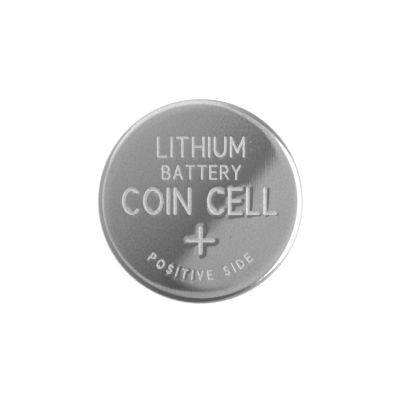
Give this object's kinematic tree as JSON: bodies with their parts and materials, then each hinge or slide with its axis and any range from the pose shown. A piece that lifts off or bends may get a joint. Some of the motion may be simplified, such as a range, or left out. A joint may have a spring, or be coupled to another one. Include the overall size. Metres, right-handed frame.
{
  "type": "lithium coin cell",
  "caption": "Round flat steel cell: a drawn can with a flat positive face, rolled over a plastic gasket round a stepped negative cap.",
  "frame": {"origin": "centre of the negative contact face, in the plane that the cell stands on", "axes": "+Z along the axis of the cell, from the negative face up to the positive face; +X to the right and +Y up when the positive face is read from above"},
  "size_m": [0.0125, 0.0124, 0.002],
  "materials": {
    "can_steel": "nickel-plated, fine straight grain",
    "cap_steel": "nickel-plated, finely stippled",
    "gasket_plastic": "moulded polypropylene",
    "lithium_foil": "dull rolled metal",
    "separator_nonwoven": "nonwoven polypropylene",
    "cathode_mass": "pressed powder",
    "net_steel": "expanded sheet"
  },
  "bodies": {
    "root": {"positive_can": "can_steel", "negative_cap": "cap_steel", "gasket": "gasket_plastic", "lithium_anode": "lithium_foil", "separator": "separator_nonwoven", "cathode_pellet": "cathode_mass", "cathode_net": "net_steel"}
  },
  "joints": []
}
